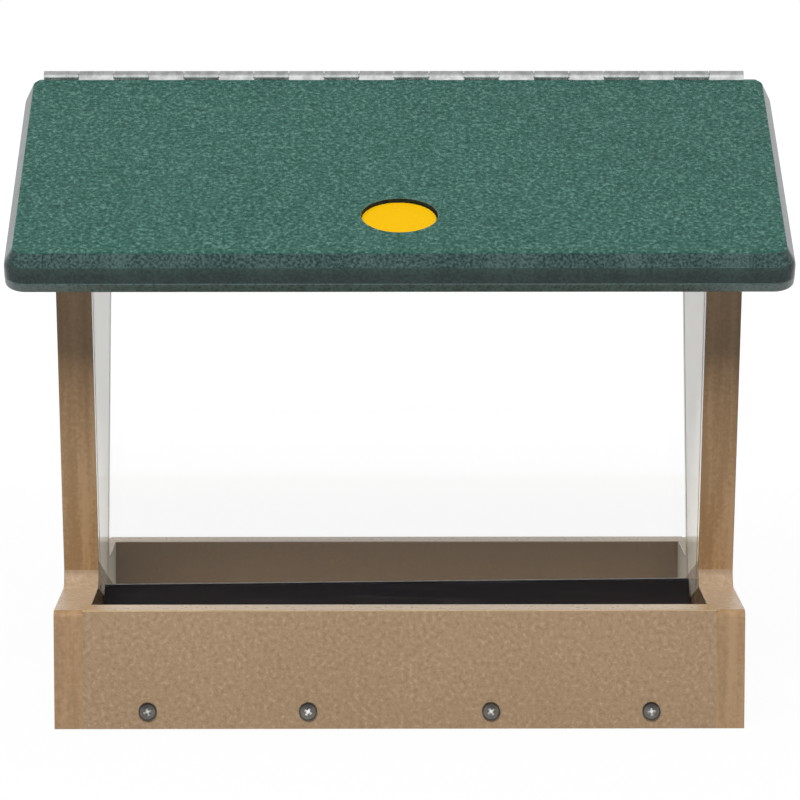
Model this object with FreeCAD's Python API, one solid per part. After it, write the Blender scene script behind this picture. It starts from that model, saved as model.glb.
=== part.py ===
"""Hopper bird feeder in recycled plastic board, with a hinged roof lid.

Millimetres. X runs along the ridge, -Y is the front, +Z is up.
The origin is on the ground, under the middle of the feeder.
"""
import FreeCAD
import Part
import math
import os

# End panels, rails and floor
BODY_WIDTH = 304.8            # across the outer faces of the end panels
BODY_BOARD = 15.875           # thickness of every body board
TRAY_DEPTH = 215.9            # front to back over the rails
TRAY_HEIGHT = 53.0
TRAY_CORNER_RADIUS = 3.2
HOUSING_DEPTH = 3.175         # how far rails and floor are let into the end panels
NECK_DEPTH = 76.2             # end panel, front to back, where the neck meets the tray
NECK_LEAN = 15.1              # degrees that the neck edges lean outward
SHOULDER_RADIUS = 6.35
GABLE_HEIGHT = 261.1          # peak of the end panels

# Roof boards
ROOF_BOARD = 19.05
ROOF_PITCH = 26.565           # degrees, a rise of six in twelve
ROOF_SIDE_OVERHANG = 18.35    # past the end panels
SLOPE_LENGTH = 155.15         # ridge edge to eave, along the slope
EAVE_CORNER_RADIUS = 9.5
RIDGE_CORNER_RADIUS = 7.7     # outer edge; the bevel carries a smaller round to the face
TOP_BEVEL_DROP = 7.6          # bevel of the upper edges, down the edge of the board
TOP_BEVEL_INSET = 4.2         # the same bevel, across the face
LOWER_BEVEL_DROP = 5.3        # bevel under the eave
LOWER_BEVEL_INSET = 2.3
LID_SEAT_GAP = 0.3            # between the shut lid and the end panels

# Ridge hinge
HINGE_MARGIN = 10.25          # mean distance from the roof's ends
HINGE_SHIFT = -1.9            # the hinge sits a little to one side
HINGE_RISE = 1.8              # axis above the upper ridge edges
KNUCKLE_COUNT = 20
KNUCKLE_GAP = 0.5
BARREL_RADIUS = 2.25
PIN_RADIUS = 1.2
PIN_CLEARANCE = 0.05
LEAF_THICKNESS = 1.0
LEAF_DEPTH = 14.0             # axis to the lower edge of a leaf
LEAF_NOTCH = 0.5              # leaf clear of the other leaf's knuckles

# Clear panes and their grooves
PANE_THICKNESS = 3.0
PANE_INSET = 8.0              # neck edge to the pane
PANE_BOTTOM = 41.0            # height of the lower edge
PANE_TOP_GAP = 4.0            # upper edge to the roof
GROOVE_DEPTH = 4.0
GROOVE_CLEARANCE = 0.15

# Seed diverter
DIVERTER_HEIGHT = 34.3        # sharp ridge, before the bend is rounded, above the floor
DIVERTER_SLOPE = 45.0
DIVERTER_SHEET = 1.5
DIVERTER_BEND_RADIUS = 2.0
DIVERTER_SKEW = 3.5           # degrees that it lies out of line with the tray
DIVERTER_END_CLEARANCE = 0.8  # each end, which is cut along the end panel

# Badge in the lid
BADGE_WIDTH = 32.9
BADGE_DEPTH = 28.1            # along the slope
BADGE_THICKNESS = 1.2
BADGE_RECESS = 2.0            # face of the badge below the roof face
BADGE_CLEARANCE = 0.3
BADGE_FROM_RIDGE = 120.0      # ridge edge to the middle of the badge, along the slope

# Screws
SCREW_RADIUS = 2.1
SCREW_TIP = 4.0
SCREW_CLEARANCE = 0.05
SCREW_HEAD_RADIUS = 4.0
PAN_HEAD_HEIGHT = 2.6
PAN_HEAD_EDGE = 1.0           # straight side of a pan head
FLAT_HEAD_DEPTH = 2.3
BODY_SCREW_LENGTH = 31.75
ROOF_SCREW_LENGTH = 38.1
RAIL_SCREW_INSET = 28.5       # outer screws to the ends of the rail
RAIL_SCREW_INNER_SPACING = 80.8
END_SCREW_RAIL_HEIGHT = 34.0
END_SCREW_FLOOR_SPACING = 90.0
ROOF_SCREW_FROM_PEAK = 25.0
ROOF_SCREW_FROM_NECK_EDGE = 18.0
HINGE_SCREW_RADIUS = 1.3
HINGE_SCREW_LENGTH = 9.5
HINGE_SCREW_TIP = 2.0
HINGE_SCREW_HEAD_RADIUS = 2.5
HINGE_SCREW_HEAD_DEPTH = 1.3
HINGE_SCREW_COUNT = 6
HINGE_SCREW_PITCH = 55.0
HINGE_SCREW_DROP = 9.5        # below the hinge axis

# Pilot holes under the floor for a pole flange
FLANGE_CIRCLE = 63.5
FLANGE_HOLE_COUNT = 4
FLANGE_HOLE_RADIUS = 1.6
FLANGE_HOLE_DEPTH = 12.0

# Places that follow from the sizes above
INNER_HALF = BODY_WIDTH / 2 - BODY_BOARD
HOUSED_HALF = INNER_HALF + HOUSING_DEPTH
PITCH = math.radians(ROOF_PITCH)
LEAN = math.radians(NECK_LEAN)
SLOPE_NORMAL = FreeCAD.Vector(0, math.sin(PITCH), math.cos(PITCH))
ROOF_WIDTH = BODY_WIDTH + 2 * ROOF_SIDE_OVERHANG
RIDGE_EDGE_Z = GABLE_HEIGHT + ROOF_BOARD / math.cos(PITCH) - BARREL_RADIUS * math.tan(PITCH)
HINGE_Z = RIDGE_EDGE_Z + HINGE_RISE
HINGE_LENGTH = ROOF_WIDTH - 2 * HINGE_MARGIN
HINGE_START = HINGE_SHIFT - HINGE_LENGTH / 2
KNUCKLE_PITCH = HINGE_LENGTH / KNUCKLE_COUNT

FRONT = -1
BACK = 1
LEFT = -1
RIGHT = 1


def vector(x, y, z):
    return FreeCAD.Vector(x, y, z)


def box(low, high):
    """Box between two opposite corners."""
    size = [top - bottom for bottom, top in zip(low, high)]
    return Part.makeBox(*size, vector(*low))


def placed(shape, point, direction):
    """Copy of a shape with its own Z axis turned to a direction and moved to a point."""
    copy = shape.copy()
    copy.Placement = FreeCAD.Placement(point, FreeCAD.Rotation(vector(0, 0, 1), direction))
    return copy


def mirrored(shape, normal):
    return shape.mirror(vector(0, 0, 0), normal)


def cut_all(shape, tools):
    return shape.cut(Part.makeCompound(tools)).Solids[0]


def rounded_outline(corners):
    """Closed wire through (point, radius) corners, with an arc at each corner that has a radius."""
    stops = []
    for index, (point, radius) in enumerate(corners):
        if radius == 0:
            stops.append((point, None, point))
            continue
        before = (corners[index - 1][0] - point).normalize()
        after = (corners[(index + 1) % len(corners)][0] - point).normalize()
        half_angle = before.getAngle(after) / 2
        reach = radius / math.tan(half_angle)
        bisector = (before + after).normalize()
        middle = point + bisector * (radius / math.sin(half_angle) - radius)
        stops.append((point + before * reach, middle, point + after * reach))
    edges = []
    for index, (start, middle, end) in enumerate(stops):
        if middle is not None:
            edges.append(Part.Arc(start, middle, end).toShape())
        edges.append(Part.makeLine(end, stops[(index + 1) % len(stops)][0]))
    return Part.Wire(edges)


def prism(wire, direction):
    return Part.Face(wire).extrude(direction)


def neck_half_depth(height):
    """Half the depth of the neck at a height."""
    return NECK_DEPTH / 2 + (height - TRAY_HEIGHT) * math.tan(LEAN)


def gable_corner(peak):
    """Where the neck edge meets a roof seat that starts from a peak height."""
    lean, fall = math.tan(LEAN), math.tan(PITCH)
    depth = (neck_half_depth(TRAY_HEIGHT) + (peak - TRAY_HEIGHT) * lean) / (1 + lean * fall)
    return depth, peak - depth * fall


# Screws, built with the seat of the head at zero and the shank down -Z

def turned(edges):
    """Solid of revolution about Z from a closed ring of edges in the XZ plane."""
    return Part.Face(Part.Wire(edges)).revolve(vector(0, 0, 0), vector(0, 0, 1), 360)


def lines(points):
    return [Part.makeLine(start, end) for start, end in zip(points, points[1:])]


def pan_screw():
    """Screw with a domed head standing on its seat."""
    dome_rise = PAN_HEAD_HEIGHT - PAN_HEAD_EDGE
    dome_radius = (SCREW_HEAD_RADIUS ** 2 + dome_rise ** 2) / (2 * dome_rise)
    half_angle = math.asin(SCREW_HEAD_RADIUS / dome_radius) / 2
    dome_drop = dome_radius * (1 - math.cos(half_angle))
    crown = vector(0, 0, PAN_HEAD_HEIGHT)
    middle = vector(dome_radius * math.sin(half_angle), 0, PAN_HEAD_HEIGHT - dome_drop)
    rim = vector(SCREW_HEAD_RADIUS, 0, PAN_HEAD_EDGE)
    below = [
        rim,
        vector(SCREW_HEAD_RADIUS, 0, 0),
        vector(SCREW_RADIUS, 0, 0),
        vector(SCREW_RADIUS, 0, SCREW_TIP - BODY_SCREW_LENGTH),
        vector(0, 0, -BODY_SCREW_LENGTH),
        crown,
    ]
    return turned([Part.Arc(crown, middle, rim).toShape()] + lines(below))


def pan_screw_hole():
    radius, length = SCREW_RADIUS + SCREW_CLEARANCE, BODY_SCREW_LENGTH + SCREW_CLEARANCE
    axis_top = vector(0, 0, 0)
    points = [axis_top, vector(radius, 0, 0), vector(radius, 0, SCREW_TIP - length), vector(0, 0, -length)]
    return turned(lines(points + [axis_top]))


def flat_screw(radius, length, tip, head_radius, head_depth, clearance):
    """Countersunk screw, flush with its seat, or its hole when given a clearance."""
    grown = radius + clearance
    points = [
        vector(0, 0, 0),
        vector(head_radius + clearance, 0, 0),
        vector(grown, 0, -head_depth),
        vector(grown, 0, tip - length),
        vector(0, 0, -length - clearance),
    ]
    return turned(lines(points + points[:1]))


def end_screw(clearance=0):
    return flat_screw(SCREW_RADIUS, BODY_SCREW_LENGTH, SCREW_TIP,
                      SCREW_HEAD_RADIUS, FLAT_HEAD_DEPTH, clearance)


def roof_screw(clearance=0):
    return flat_screw(SCREW_RADIUS, ROOF_SCREW_LENGTH, SCREW_TIP,
                      SCREW_HEAD_RADIUS, FLAT_HEAD_DEPTH, clearance)


def hinge_screw(clearance=0):
    return flat_screw(HINGE_SCREW_RADIUS, HINGE_SCREW_LENGTH, HINGE_SCREW_TIP,
                      HINGE_SCREW_HEAD_RADIUS, HINGE_SCREW_HEAD_DEPTH, clearance)


# Seats of the screws: a point and the direction in which the head faces

def rail_screw_seats(side):
    outer = HOUSED_HALF - RAIL_SCREW_INSET
    inner = RAIL_SCREW_INNER_SPACING / 2
    return [(vector(x, side * TRAY_DEPTH / 2, BODY_BOARD / 2), vector(0, side, 0))
            for x in (-outer, -inner, inner, outer)]


def end_screw_seats(side):
    rail_y = (TRAY_DEPTH - BODY_BOARD) / 2
    floor_y = END_SCREW_FLOOR_SPACING / 2
    places = [(-rail_y, END_SCREW_RAIL_HEIGHT), (rail_y, END_SCREW_RAIL_HEIGHT),
              (-floor_y, BODY_BOARD / 2), (floor_y, BODY_BOARD / 2)]
    return [(vector(side * BODY_WIDTH / 2, y, z), vector(side, 0, 0)) for y, z in places]


def roof_screw_seats():
    edge_depth = gable_corner(GABLE_HEIGHT)[0]
    seats = []
    for side in (LEFT, RIGHT):
        for depth in (ROOF_SCREW_FROM_PEAK, edge_depth - ROOF_SCREW_FROM_NECK_EDGE):
            height = GABLE_HEIGHT - depth * math.tan(PITCH)
            on_gable = vector(side * (BODY_WIDTH - BODY_BOARD) / 2, depth, height)
            seats.append((on_gable + SLOPE_NORMAL * ROOF_BOARD, SLOPE_NORMAL))
    return seats


def hinge_screw_seats(side):
    inner_face = side * (BARREL_RADIUS - LEAF_THICKNESS)
    height = HINGE_Z - HINGE_SCREW_DROP
    first = HINGE_SHIFT - HINGE_SCREW_PITCH * (HINGE_SCREW_COUNT - 1) / 2
    return [(vector(first + index * HINGE_SCREW_PITCH, inner_face, height), vector(0, -side, 0))
            for index in range(HINGE_SCREW_COUNT)]


def at_seats(shape, seats):
    return [placed(shape, point, direction) for point, direction in seats]


# Body of the feeder

def pane_block(side, half_width, thickness, overrun):
    """Slab in the plane of a pane, as long as the pane or longer by an overrun at the top."""
    middle = PANE_INSET + PANE_THICKNESS / 2
    depth = neck_half_depth(PANE_BOTTOM) - middle / math.cos(LEAN)
    outer = depth + PANE_THICKNESS / 2 * math.cos(LEAN)
    rise = math.cos(LEAN) + math.sin(LEAN) * math.tan(PITCH)
    length = (GABLE_HEIGHT - outer * math.tan(PITCH) - PANE_BOTTOM) / rise - PANE_TOP_GAP
    slab = box((-half_width, -thickness / 2, 0), (half_width, thickness / 2, length + overrun))
    direction = vector(0, side * math.sin(LEAN), math.cos(LEAN))
    return placed(slab, vector(0, side * depth, PANE_BOTTOM), direction)


def pane(side):
    return pane_block(side, INNER_HALF + GROOVE_DEPTH - GROOVE_CLEARANCE, PANE_THICKNESS, 0)


def pane_groove(side):
    return pane_block(side, INNER_HALF + GROOVE_DEPTH, PANE_THICKNESS + 2 * GROOVE_CLEARANCE, ROOF_BOARD)


def rail(side):
    outer, inner = side * TRAY_DEPTH / 2, side * (TRAY_DEPTH / 2 - BODY_BOARD)
    board = box((-HOUSED_HALF, min(outer, inner), 0), (HOUSED_HALF, max(outer, inner), TRAY_HEIGHT))
    holes = at_seats(pan_screw_hole(), rail_screw_seats(side))
    holes += at_seats(end_screw(SCREW_CLEARANCE), end_screw_seats(LEFT) + end_screw_seats(RIGHT))
    return cut_all(board, holes)


def floor_blank():
    half_depth = TRAY_DEPTH / 2 - BODY_BOARD
    return box((-HOUSED_HALF, -half_depth, 0), (HOUSED_HALF, half_depth, BODY_BOARD))


def floor_board():
    holes = at_seats(pan_screw_hole(), rail_screw_seats(FRONT) + rail_screw_seats(BACK))
    holes += at_seats(end_screw(SCREW_CLEARANCE), end_screw_seats(LEFT) + end_screw_seats(RIGHT))
    for index in range(FLANGE_HOLE_COUNT):
        angle = 2 * math.pi * (index + 0.5) / FLANGE_HOLE_COUNT
        middle = vector(FLANGE_CIRCLE / 2 * math.cos(angle), FLANGE_CIRCLE / 2 * math.sin(angle), 0)
        holes.append(Part.makeCylinder(FLANGE_HOLE_RADIUS, FLANGE_HOLE_DEPTH, middle))
    return cut_all(floor_blank(), holes)


def end_panel(side):
    """House-shaped board with a tray base, housed for the rails and floor and grooved for the panes."""
    inner = side * INNER_HALF
    half_depth = TRAY_DEPTH / 2
    half_neck = neck_half_depth(TRAY_HEIGHT)
    lid_peak = GABLE_HEIGHT - LID_SEAT_GAP / math.cos(PITCH)
    front_depth, front_height = gable_corner(lid_peak)
    back_depth, back_height = gable_corner(GABLE_HEIGHT)
    outline = [
        (-half_depth, 0, 0),
        (-half_depth, TRAY_HEIGHT, TRAY_CORNER_RADIUS),
        (-half_neck, TRAY_HEIGHT, SHOULDER_RADIUS),
        (-front_depth, front_height, 0),
        (0, lid_peak, 0),
        (0, GABLE_HEIGHT, 0),
        (back_depth, back_height, 0),
        (half_neck, TRAY_HEIGHT, SHOULDER_RADIUS),
        (half_depth, TRAY_HEIGHT, TRAY_CORNER_RADIUS),
        (half_depth, 0, 0),
    ]
    corners = [(vector(inner, y, z), radius) for y, z, radius in outline]
    board = prism(rounded_outline(corners), vector(side * BODY_BOARD, 0, 0))
    rail_housing = box((-HOUSED_HALF, half_depth - BODY_BOARD, 0), (HOUSED_HALF, half_depth, TRAY_HEIGHT))
    cuts = [rail_housing, mirrored(rail_housing, vector(0, 1, 0)), floor_blank()]
    cuts += [pane_groove(FRONT), pane_groove(BACK)]
    cuts += at_seats(end_screw(SCREW_CLEARANCE), end_screw_seats(side))
    cuts += at_seats(roof_screw(SCREW_CLEARANCE), roof_screw_seats())
    return cut_all(board, cuts)


def seed_diverter():
    """Sheet bent to an inverted V, lying on the floor of the tray."""
    slope = math.radians(DIVERTER_SLOPE)
    skew = math.radians(DIVERTER_SKEW)
    half_base = DIVERTER_HEIGHT / math.tan(slope)
    foot = DIVERTER_SHEET / math.sin(slope)
    inner_ridge = DIVERTER_HEIGHT - DIVERTER_SHEET / math.cos(slope)
    room = INNER_HALF - DIVERTER_END_CLEARANCE
    half_length = (room + half_base) / math.cos(skew)
    outline = [
        (-half_base, 0, 0),
        (0, DIVERTER_HEIGHT, DIVERTER_BEND_RADIUS + DIVERTER_SHEET),
        (half_base, 0, 0),
        (half_base - foot, 0, 0),
        (0, inner_ridge, DIVERTER_BEND_RADIUS),
        (foot - half_base, 0, 0),
    ]
    corners = [(vector(-half_length, y, BODY_BOARD + z), radius) for y, z, radius in outline]
    sheet = prism(rounded_outline(corners), vector(2 * half_length, 0, 0))
    sheet.rotate(vector(0, 0, 0), vector(0, 0, 1), DIVERTER_SKEW)
    between_panels = box((-room, -TRAY_DEPTH / 2, 0), (room, TRAY_DEPTH / 2, TRAY_HEIGHT))
    return sheet.common(between_panels).Solids[0]


# Roof, with the front board first and the back board as its mirror image

def on_front_slope(shape):
    """Move a shape from a flat board, with -Y towards the eave, to the front slope."""
    copy = shape.copy()
    turn = FreeCAD.Rotation(vector(1, 0, 0), ROOF_PITCH)
    copy.Placement = FreeCAD.Placement(vector(0, -BARREL_RADIUS, RIDGE_EDGE_Z), turn)
    return copy


def roof_outline(side_inset, eave_inset, height):
    half = ROOF_WIDTH / 2 - side_inset
    eave = eave_inset - SLOPE_LENGTH
    eave_radius = EAVE_CORNER_RADIUS - side_inset
    ridge_radius = RIDGE_CORNER_RADIUS - side_inset
    return rounded_outline([
        (vector(-half, 0, height), ridge_radius),
        (vector(-half, eave, height), eave_radius),
        (vector(half, eave, height), eave_radius),
        (vector(half, 0, height), ridge_radius),
    ])


def roof_board():
    """Front roof board: bevelled above on the eave and both sides, below on the eave, cut plumb at the ridge."""
    sections = [
        roof_outline(TOP_BEVEL_INSET, TOP_BEVEL_INSET, 0),
        roof_outline(0, 0, -TOP_BEVEL_DROP),
        roof_outline(0, 0, LOWER_BEVEL_DROP - ROOF_BOARD),
        roof_outline(0, LOWER_BEVEL_INSET, -ROOF_BOARD),
    ]
    board = on_front_slope(Part.makeLoft(sections, True, True))
    plumb = box((-ROOF_WIDTH, -BARREL_RADIUS, 0), (ROOF_WIDTH, ROOF_BOARD, RIDGE_EDGE_Z + ROOF_BOARD))
    return board.cut(plumb).Solids[0]


def oval_plate(width, depth, low, high):
    """Upright oval plate on the flat board, at the badge's place."""
    ring = Part.Ellipse(vector(0, -BADGE_FROM_RIDGE, low), width / 2, depth / 2).toShape()
    return prism(Part.Wire(ring), vector(0, 0, high - low))


def badge():
    pocket_floor = -BADGE_RECESS - BADGE_THICKNESS
    return on_front_slope(oval_plate(BADGE_WIDTH, BADGE_DEPTH, pocket_floor, -BADGE_RECESS))


def roof_lid():
    wide, deep = BADGE_WIDTH + 2 * BADGE_CLEARANCE, BADGE_DEPTH + 2 * BADGE_CLEARANCE
    pocket = oval_plate(wide, deep, -BADGE_RECESS - BADGE_THICKNESS, ROOF_BOARD)
    holes = at_seats(hinge_screw(SCREW_CLEARANCE), hinge_screw_seats(FRONT))
    return cut_all(roof_board(), [on_front_slope(pocket)] + holes)


def roof_panel_back():
    holes = at_seats(hinge_screw(SCREW_CLEARANCE), hinge_screw_seats(BACK))
    holes += at_seats(roof_screw(SCREW_CLEARANCE), roof_screw_seats())
    return cut_all(mirrored(roof_board(), vector(0, 1, 0)), holes)


# Ridge hinge

def knuckle(side, start):
    """One knuckle rolled from the leaf, with the strip that joins it to the leaf."""
    outer = side * BARREL_RADIUS
    inner = side * (BARREL_RADIUS - LEAF_THICKNESS)
    meet = -math.sqrt(BARREL_RADIUS ** 2 - inner ** 2)
    low = -BARREL_RADIUS - LEAF_NOTCH
    far = vector(start, -outer * math.sqrt(0.5), HINGE_Z + BARREL_RADIUS * math.sqrt(0.5))
    edges = [
        Part.makeLine(vector(start, outer, HINGE_Z + low), vector(start, outer, HINGE_Z)),
        Part.Arc(vector(start, outer, HINGE_Z), far, vector(start, inner, HINGE_Z + meet)).toShape(),
        Part.makeLine(vector(start, inner, HINGE_Z + meet), vector(start, inner, HINGE_Z + low)),
        Part.makeLine(vector(start, inner, HINGE_Z + low), vector(start, outer, HINGE_Z + low)),
    ]
    return prism(Part.Wire(edges), vector(KNUCKLE_PITCH - KNUCKLE_GAP, 0, 0))


def hinge_rod(radius):
    return Part.makeCylinder(radius, HINGE_LENGTH, vector(HINGE_START, 0, HINGE_Z), vector(1, 0, 0))


def hinge_leaf(side):
    """Leaf on a plumb ridge face. The back leaf has the first knuckle, and they alternate."""
    outer, inner = side * BARREL_RADIUS, side * (BARREL_RADIUS - LEAF_THICKNESS)
    top = HINGE_Z - BARREL_RADIUS - LEAF_NOTCH
    leaf = box((HINGE_START, min(outer, inner), HINGE_Z - LEAF_DEPTH),
               (HINGE_START + HINGE_LENGTH, max(outer, inner), top))
    first = 0 if side == BACK else 1
    start = HINGE_START + KNUCKLE_GAP / 2
    knuckles = [knuckle(side, start + index * KNUCKLE_PITCH) for index in range(first, KNUCKLE_COUNT, 2)]
    leaf = leaf.multiFuse(knuckles).removeSplitter()
    holes = at_seats(hinge_screw(SCREW_CLEARANCE), hinge_screw_seats(side))
    return cut_all(leaf, [hinge_rod(PIN_RADIUS + PIN_CLEARANCE)] + holes)


def build():
    """Every node, by name."""
    return {
        "end_panel_left": end_panel(LEFT),
        "end_panel_right": end_panel(RIGHT),
        "front_rail": rail(FRONT),
        "back_rail": rail(BACK),
        "floor_board": floor_board(),
        "pane_front": pane(FRONT),
        "pane_back": pane(BACK),
        "seed_diverter": seed_diverter(),
        "roof_panel_back": roof_panel_back(),
        "roof_lid": roof_lid(),
        "badge": badge(),
        "hinge_leaf_fixed": hinge_leaf(BACK),
        "hinge_leaf_lid": hinge_leaf(FRONT),
        "hinge_pin": hinge_rod(PIN_RADIUS),
        "hinge_screws_fixed": Part.makeCompound(at_seats(hinge_screw(), hinge_screw_seats(BACK))),
        "hinge_screws_lid": Part.makeCompound(at_seats(hinge_screw(), hinge_screw_seats(FRONT))),
        "front_rail_screws": Part.makeCompound(at_seats(pan_screw(), rail_screw_seats(FRONT))),
        "back_rail_screws": Part.makeCompound(at_seats(pan_screw(), rail_screw_seats(BACK))),
        "end_screws_left": Part.makeCompound(at_seats(end_screw(), end_screw_seats(LEFT))),
        "end_screws_right": Part.makeCompound(at_seats(end_screw(), end_screw_seats(RIGHT))),
        "roof_screws": Part.makeCompound(at_seats(roof_screw(), roof_screw_seats())),
    }


os.makedirs("parts", exist_ok=True)
for name, shape in build().items():
    shape.exportStep(f"parts/{name}.step")
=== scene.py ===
"""Looks for a hopper bird feeder: plastic boards, ridge hinge, clear panes, screws and a plain studio.

Metres, in the frame of the packed model: X along the ridge, -Y to the front, +Z up.
"""
import math

import bmesh
import bpy
from bpy.props import FloatProperty, FloatVectorProperty, IntProperty, PointerProperty
from mathutils import Matrix, Vector


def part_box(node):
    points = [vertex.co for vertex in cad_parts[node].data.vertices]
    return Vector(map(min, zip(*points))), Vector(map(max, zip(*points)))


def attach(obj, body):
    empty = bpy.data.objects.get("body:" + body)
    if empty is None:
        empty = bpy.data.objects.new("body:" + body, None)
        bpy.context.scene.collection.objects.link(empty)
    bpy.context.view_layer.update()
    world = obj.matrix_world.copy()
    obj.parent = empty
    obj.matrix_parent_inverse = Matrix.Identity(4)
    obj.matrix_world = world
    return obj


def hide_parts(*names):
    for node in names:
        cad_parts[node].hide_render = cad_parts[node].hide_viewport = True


bl_info = {
    "name": "Hopper Bird Feeder",
    "version": (1, 0, 0),
    "blender": (4, 5, 0),
    "location": "3D View > Sidebar > Bird Feeder",
    "description": "Dresses the boards, hinge, panes and screws of a hopper bird feeder",
    "category": "Add Mesh",
}

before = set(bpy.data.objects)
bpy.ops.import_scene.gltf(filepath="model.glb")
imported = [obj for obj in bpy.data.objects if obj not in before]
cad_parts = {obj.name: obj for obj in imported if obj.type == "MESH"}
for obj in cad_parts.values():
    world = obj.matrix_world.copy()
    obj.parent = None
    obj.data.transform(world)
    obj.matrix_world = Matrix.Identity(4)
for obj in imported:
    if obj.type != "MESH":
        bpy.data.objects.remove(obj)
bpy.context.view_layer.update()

BODY = "feeder_body"
LID = "lid"
ACROSS = Vector((1, 0, 0))
THROUGH = Vector((0, 1, 0))
UPWARD = Vector((0, 0, 1))
ROOF_PITCH = math.atan2(1, 2)
FRONT_SLOPE = Vector((0, -math.sin(ROOF_PITCH), math.cos(ROOF_PITCH)))
BACK_SLOPE = Vector((0, math.sin(ROOF_PITCH), math.cos(ROOF_PITCH)))

# Material slots of the boards. The third has the broken edges of a rail, the shoulders of an end panel, with
# painted light, or the lower bevels and the pocket's rim of a roof board, lighter with painted bounce light
# and painted highlight lines
FACE = 0
EDGE = 1
CORNER = 2

# Further slots of a roof board: its square-cut band, darker partly with painted shade, and the wall of the
# badge's pocket, near-black with painted shade
SQUARE = 3
POCKET = 4

# Further slots of an end panel: the cove above its shoulder, darker with painted shade, the faces without
# seed dust, the neck's edges, lighter with painted light, and the band where the dust thins out
COVE = 3
CLEAN = 4
NECK = 5
THIN_DUST = 6

# How a board's shape is read
WELD = 2e-6                # points nearer than this are one
FLAT = math.radians(0.5)   # faces that turn less than this are one
SMOOTH = math.radians(34)  # edges that turn less than this are shaded smooth
SHARP = math.radians(35)   # corners of a body board turn more than this
CREASE = math.radians(15)  # creases of a roof board's bevels turn more than this
RIM = math.radians(60)     # the rim of the badge's pocket turns more than this
STRAIGHT_ON = 0.999        # cosine of a face that looks along an axis
HOLE_REACH = 0.003         # from the middle of a screw hole to past its edge
GROUND_REACH = 0.0005      # edges lower than this lie on the ground

# Sides of the round shapes
HEAD_SIDES = 40
BARREL_SIDES = 32
BORE_SIDES = 24
SHANK_SIDES = 20
BADGE_SIDES = 96


def length(name, description, default):
    return FloatProperty(name=name, description=description, default=default, min=0.0,
                         unit="LENGTH", subtype="DISTANCE", precision=5)


def colour(name, description, default):
    return FloatVectorProperty(name=name, description=description, default=default,
                               subtype="COLOR", size=3, min=0.0, max=1.0)


def amount(name, description, default, subtype="NONE"):
    return FloatProperty(name=name, description=description, default=default, min=0.0, subtype=subtype)


class BoardSettings(bpy.types.PropertyGroup):
    """Colours and surface of the plastic boards"""
    # Pit and fleck tones: partly the boards' speckle, partly painted shade in the hollows and painted
    # highlight on the raised flecks
    green: colour("Green", "Ground colour of the roof boards", (0.0135, 0.0701, 0.0532))
    green_pit: colour("Green pit", "Hollows between the flecks of the roof boards", (0.0005, 0.0360, 0.0235))
    green_fleck: colour("Green fleck", "Raised flecks of the roof boards", (0.0756, 0.1720, 0.1420))
    green_edge: colour("Green edge", "Routed bevels of the roof boards", (0.003, 0.023, 0.022))
    green_grain: colour("Green grain", "Light grains of the routed bevels", (0.055, 0.101, 0.093))
    # The lip tones are lighter to paint the floor's bounce light under the eave; the same finish paints
    # highlight lines on the lower crease and the pocket's rim
    green_lip: colour("Green lip", "Bevel under the eave", (0.024, 0.062, 0.053))
    green_lip_grain: colour("Green lip grain", "Light grains of that bevel", (0.075, 0.150, 0.133))
    # The square-cut band faces down; its darker tone is partly its cut finish and partly painted shade
    green_square: colour("Green square edge", "Square-cut band of the roof boards", (0.012, 0.027, 0.024))
    green_speck: colour("Green speck", "Light grains of the square-cut band", (0.026, 0.050, 0.046))
    # Near-black pocket wall: painted shade in the recess
    pocket: colour("Pocket wall with painted shade", "Routed wall around the badge", (0.003, 0.005, 0.004))
    taupe: colour("Taupe", "Ground colour of the body boards", (0.318, 0.210, 0.118))
    taupe_pit: colour("Taupe pit", "Hollows between the flecks of the body boards", (0.264, 0.170, 0.091))
    taupe_fleck: colour("Taupe fleck", "Raised flecks of the body boards", (0.411, 0.285, 0.175))
    taupe_edge: colour("Taupe edge", "Machined edges of the body boards", (0.268, 0.161, 0.076))
    taupe_streak: colour("Taupe streak", "Light streaks of the body boards' edges", (0.367, 0.230, 0.121))
    # The rails' edge tones are lighter than the panels' edges: painted sheen of their upward edges
    rail_top: colour("Rail top", "Upper edges of the rails", (0.422, 0.294, 0.165))
    rail_top_streak: colour("Rail top streak", "Light streaks of those edges", (0.492, 0.348, 0.203))
    # Shoulder tones are lighter than the face: painted light on the upward shoulders
    shoulder: colour("Shoulder", "Routed shoulders of the end panels", (0.455, 0.323, 0.211))
    shoulder_pit: colour("Shoulder pit", "Hollows between the shoulders' flecks", (0.400, 0.279, 0.177))
    shoulder_fleck: colour("Shoulder fleck", "Raised flecks of the shoulders", (0.545, 0.398, 0.273))
    green_size: length("Roof fleck", "Width of a fleck of the roof boards", 0.0011)
    taupe_size: length("Body fleck", "Width of a fleck of the body boards", 0.00132)
    green_relief: length("Roof relief", "Height of the flecks on the roof boards", 0.00035)
    taupe_relief: length("Body relief", "Height of the flecks on the body boards", 0.00004)
    body_break: length("Body edge break", "Rounding of the body boards' edges", 0.0004)
    upper_break: length("Upper crease", "Rounding between roof face and bevel", 0.0005)
    eave_break: length("Eave crease", "Rounding between bevel and eave", 0.0018)
    lower_break: length("Lower crease", "Rounding between eave and lower bevel", 0.00045)
    under_break: length("Under crease", "Rounding between lower bevel and underside", 0.00025)
    pocket_break: length("Pocket edge break", "Rounding of the rim of the badge's pocket", 0.0003)


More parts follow.
